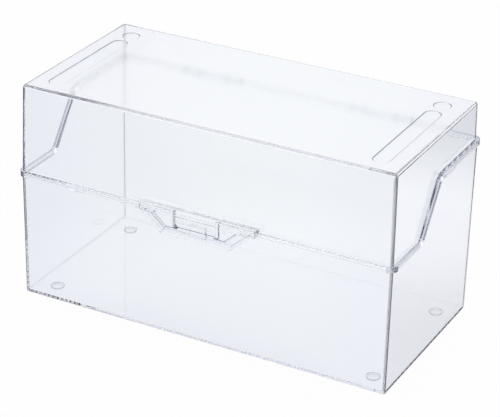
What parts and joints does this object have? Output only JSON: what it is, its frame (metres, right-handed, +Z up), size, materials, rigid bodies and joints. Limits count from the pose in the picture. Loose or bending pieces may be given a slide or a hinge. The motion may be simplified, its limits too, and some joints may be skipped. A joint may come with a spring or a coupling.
{
  "type": "hinged storage box",
  "caption": "Clear plastic storage box with a deep base, a rear-hinged lid that meets it on a stepped rim, a front tongue latch with a thumb notch, and round feet.",
  "frame": {"origin": "on the table under the middle of the box", "axes": "+X along the length, +Y from the latch at the front to the hinges at the rear, +Z up"},
  "size_m": [0.3034, 0.1576, 0.17],
  "materials": {
    "clear_base": "clear polished moulding",
    "clear_lid": "clear polished moulding",
    "hinge_pin": "clear extruded rod",
    "foot": "frosted soft pad"
  },
  "bodies": {
    "base": {"base": "clear_base", "hinge_pin_left": "hinge_pin", "hinge_pin_right": "hinge_pin", "foot_front_left": "foot", "foot_front_right": "foot", "foot_rear_left": "foot", "foot_rear_right": "foot"},
    "lid": {"lid": "clear_lid"}
  },
  "joints": [
    {"name": "lid_hinge", "type": "hinge", "parent": "base", "child": "lid", "pos_m": [0, 0.0768, 0.1392], "axis": [-1, 0, 0], "range_deg": [0, 105]}
  ]
}
